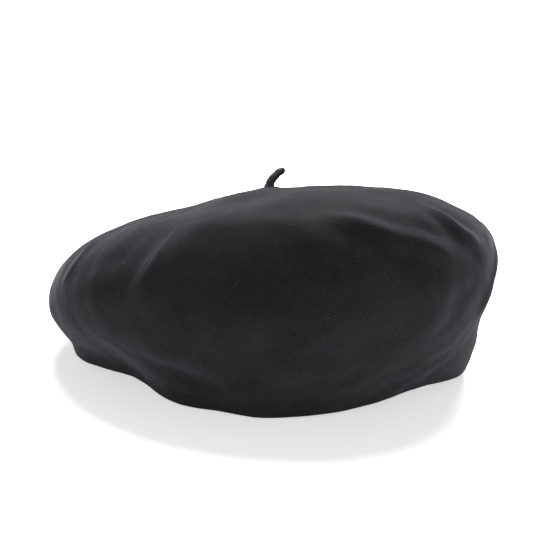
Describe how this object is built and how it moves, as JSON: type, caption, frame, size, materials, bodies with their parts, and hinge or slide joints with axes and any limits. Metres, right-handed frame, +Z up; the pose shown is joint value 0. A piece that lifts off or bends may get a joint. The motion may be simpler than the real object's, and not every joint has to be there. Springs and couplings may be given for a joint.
{
  "type": "beret",
  "caption": "Soft one-piece felted wool beret with a short bending stalk, satin lining, leather sweatband, ribbon bow and sewn-in sweat shield.",
  "frame": {"origin": "on the resting plane, under the middle of the crown's outline", "axes": "+Z up out of the stalk's side, head opening faces -Z; +X across the beret towards its higher side; -Y is the front, +Y the back where the sweatband's ends meet"},
  "size_m": [0.2387, 0.2178, 0.1118],
  "materials": {
    "felt": "fulled wool, short nap",
    "satin": "satin",
    "leather": "smooth grain",
    "thread": "twisted thread",
    "ribbon": "ribbed ribbon",
    "label_cloth": "woven tape",
    "clear_film": "clear vinyl"
  },
  "bodies": {
    "beret": {"felt_shell": "felt", "stalk_tack": "thread", "lining_top": "satin", "lining_side": "satin", "lining_seam_stitches": "thread", "sweat_shield": "clear_film", "shield_stitches": "thread", "sweatband": "leather", "band_stitches": "thread", "butt_stitches": "thread", "bow_ribbon": "ribbon", "bow_knot": "ribbon", "size_tab": "label_cloth", "care_label": "label_cloth", "label_stitches": "thread"},
    "stalk": {"stalk": "felt"}
  },
  "joints": [
    {"name": "stalk_bend", "type": "hinge", "parent": "beret", "child": "stalk", "pos_m": [-0.00411, -0.00169, 0.09915], "axis": [0, 1, 0], "range_deg": [-70, 30], "stiffness_Nm_per_rad": 0.0002}
  ]
}
